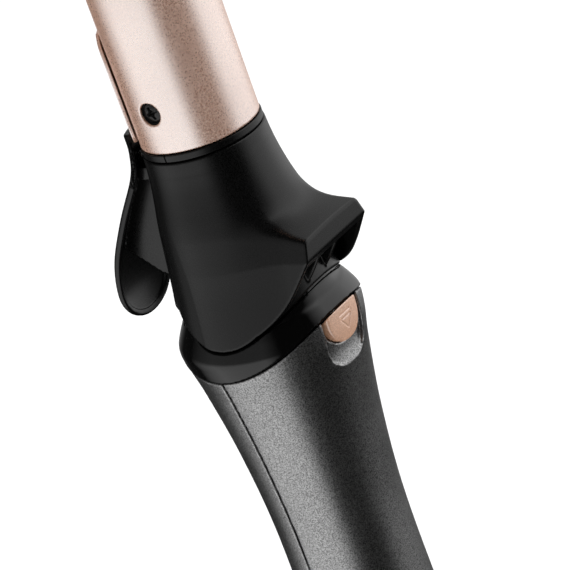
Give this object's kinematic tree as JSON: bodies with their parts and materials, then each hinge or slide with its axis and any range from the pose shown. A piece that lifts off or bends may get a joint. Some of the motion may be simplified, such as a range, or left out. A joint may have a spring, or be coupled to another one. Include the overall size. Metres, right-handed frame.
{
  "type": "curling iron",
  "caption": "Clamp curling iron: satin rose-gold barrel, black neck with thumb lever and rest foot, gloss collar and a waisted dark grey handle with a release button.",
  "frame": {"origin": "centre of the bounding box in plan, on the surface that the handle's end stands on", "axes": "+Z along the barrel towards its tip, -Y towards the rest foot and release button, +Y towards the clamp lever, X along the clamp's hinge pin"},
  "size_m": [0.0508, 0.0738, 0.355],
  "materials": {
    "barrel_coating": "satin champagne rose-gold coating with fine flake",
    "neck_plastic": "satin black moulded plastic",
    "tip_plastic": "satin black heat-resistant plastic",
    "collar_plastic": "polished black plastic",
    "handle_coating": "dark grey metallic lacquer with a fine sparkle",
    "base_plastic": "satin black moulded plastic",
    "button_coating": "satin rose-gold lacquer",
    "power_plastic": "satin dark grey plastic",
    "black_screw": "glossy black oxide",
    "steel": "zinc-plated steel",
    "inner_plastic": "heat-resistant moulded plastic",
    "brass": "plain brass",
    "aluminium": "cast aluminium",
    "ceramic_strip": "unglazed ceramic heater body",
    "board": "green solder mask",
    "lens": "milky clear light guide"
  },
  "bodies": {
    "handle": {"collar": "collar_plastic", "handle_front": "handle_coating", "handle_rear": "handle_coating", "socket_block": "inner_plastic", "contact_sleeve_1": "brass", "contact_sleeve_2": "brass", "contact_sleeve_3": "brass", "circuit_board": "board", "power_switch": "inner_plastic", "indicator_lens": "lens", "base_ring": "base_plastic", "swivel_housing": "inner_plastic", "handle_screw_1": "steel", "handle_screw_2": "steel"},
    "head": {"barrel_tube": "barrel_coating", "barrel_screw_left": "black_screw", "barrel_screw_right": "black_screw", "rim_ring": "neck_plastic", "tip_cap": "tip_plastic", "tip_plug": "inner_plastic", "heat_spreader_front": "aluminium", "heat_spreader_rear": "aluminium", "heater_strip": "ceramic_strip", "thermal_fuse": "steel", "neck_shell": "neck_plastic", "neck_core": "inner_plastic", "contact_plug": "inner_plastic", "contact_pin_1": "brass", "contact_pin_2": "brass", "contact_pin_3": "brass", "hinge_pin": "steel"},
    "clamp": {"clamp_lever": "neck_plastic", "clamp_plate": "barrel_coating", "clamp_rivet_left": "steel", "clamp_rivet_right": "steel", "clamp_spring": "steel"},
    "release": {"release_button": "button_coating", "catch_slide": "inner_plastic", "release_spring": "steel"},
    "power": {"power_button": "power_plastic"},
    "gland": {"swivel_gland": "base_plastic", "slip_ring_lower": "brass", "slip_ring_upper": "brass"}
  },
  "joints": [
    {"name": "head_detach", "type": "slide", "parent": "handle", "child": "head", "axis": [0, 0, 1], "range_m": [0, 0.03]},
    {"name": "clamp_hinge", "type": "hinge", "parent": "head", "child": "clamp", "pos_m": [0, 0.0131, 0.196], "axis": [-1, 0, 0], "range_deg": [0, 16], "stiffness_Nm_per_rad": 0.25, "springref_deg": -34.38, "deforming": ["clamp_spring"]},
    {"name": "release_press", "type": "slide", "parent": "handle", "child": "release", "axis": [0, 1, 0], "range_m": [0, 0.0005], "stiffness_N_per_m": 1500, "springref_m": -0.001, "deforming": ["release_spring"]},
    {"name": "power_press", "type": "slide", "parent": "handle", "child": "power", "axis": [0, -1, 0], "range_m": [0, 0.0005], "stiffness_N_per_m": 2000, "springref_m": -0.0005},
    {"name": "cord_swivel", "type": "hinge", "parent": "handle", "child": "gland", "pos_m": [0, -0.0055, 0.005], "axis": [0, 0, 1], "continuous": true}
  ]
}
